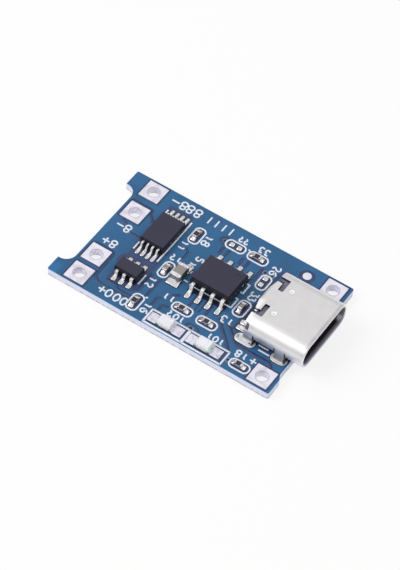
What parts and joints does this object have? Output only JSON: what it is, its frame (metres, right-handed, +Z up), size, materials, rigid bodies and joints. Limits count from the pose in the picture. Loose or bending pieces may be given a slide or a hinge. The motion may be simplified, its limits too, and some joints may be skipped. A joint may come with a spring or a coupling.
{
  "type": "lithium battery charger module",
  "caption": "Small rectangular circuit board with a USB-C receptacle, charger and protection chips, indicator lamps and wire pads, for charging a single lithium cell.",
  "frame": {"origin": "centre of the circuit board's underside", "axes": "+X out of the socket's mouth, along the board; +Z up from the board's top face; +Y across the board"},
  "size_m": [0.0293, 0.017, 0.0042],
  "materials": {
    "blue_solder_mask": "satin lacquer over glass-fibre board",
    "tinned_copper": "tinned, satin",
    "solder": "smooth solder, bright",
    "plated_steel": "nickel-plated sheet, satin",
    "contact_metal": "thin plating, satin",
    "tinned_lead": "tinned leadframe, satin",
    "socket_plastic": "moulded, fine grain",
    "chip_compound": "moulded, fine grain",
    "ceramic_brown": "fired ceramic, matt",
    "resistor_coat": "dark glaze on white ceramic",
    "lamp_base_white": "white laminate",
    "milky_lens": "milky resin, satin"
  },
  "bodies": {
    "root": {"output_negative_pad": "tinned_copper", "cell_negative_pad": "tinned_copper", "cell_positive_pad": "tinned_copper", "output_positive_pad": "tinned_copper", "input_positive_pad": "tinned_copper", "input_negative_pad": "tinned_copper", "bare_lands": "solder", "capacitor_solder": "solder", "charger_chip_body": "chip_compound", "charger_chip_heat_pad": "tinned_lead", "charger_chip_leads": "tinned_lead", "charger_chip_solder": "solder", "charging_lamp_base": "lamp_base_white", "charging_lamp_contacts": "tinned_lead", "charging_lamp_lens": "milky_lens", "full_lamp_base": "lamp_base_white", "full_lamp_contacts": "tinned_lead", "full_lamp_lens": "milky_lens", "guard_chip_body": "chip_compound", "guard_chip_leads": "tinned_lead", "guard_chip_solder": "solder", "lamp_solder": "solder", "large_capacitor_body": "ceramic_brown", "large_capacitor_end_caps": "tinned_lead", "printed_circuit_board": "blue_solder_mask", "resistor_1_body": "resistor_coat", "resistor_1_end_caps": "tinned_lead", "resistor_2_body": "resistor_coat", "resistor_2_end_caps": "tinned_lead", "resistor_3_body": "resistor_coat", "resistor_3_end_caps": "tinned_lead", "resistor_4_body": "resistor_coat", "resistor_4_end_caps": "tinned_lead", "resistor_5_body": "resistor_coat", "resistor_5_end_caps": "tinned_lead", "resistor_6_body": "resistor_coat", "resistor_6_end_caps": "tinned_lead", "resistor_solder": "solder", "small_capacitor_1_body": "ceramic_brown", "small_capacitor_1_end_caps": "tinned_lead", "small_capacitor_2_body": "ceramic_brown", "small_capacitor_2_end_caps": "tinned_lead", "switch_chip_body": "chip_compound", "switch_chip_leads": "tinned_lead", "switch_chip_solder": "solder", "test_pad": "tinned_copper", "usb_insulator": "socket_plastic", "usb_leg_solder": "solder", "usb_lower_contacts": "contact_metal", "usb_middle_plate": "plated_steel", "usb_shell": "plated_steel", "usb_tail_solder": "solder", "usb_upper_contacts": "contact_metal"}
  },
  "joints": []
}
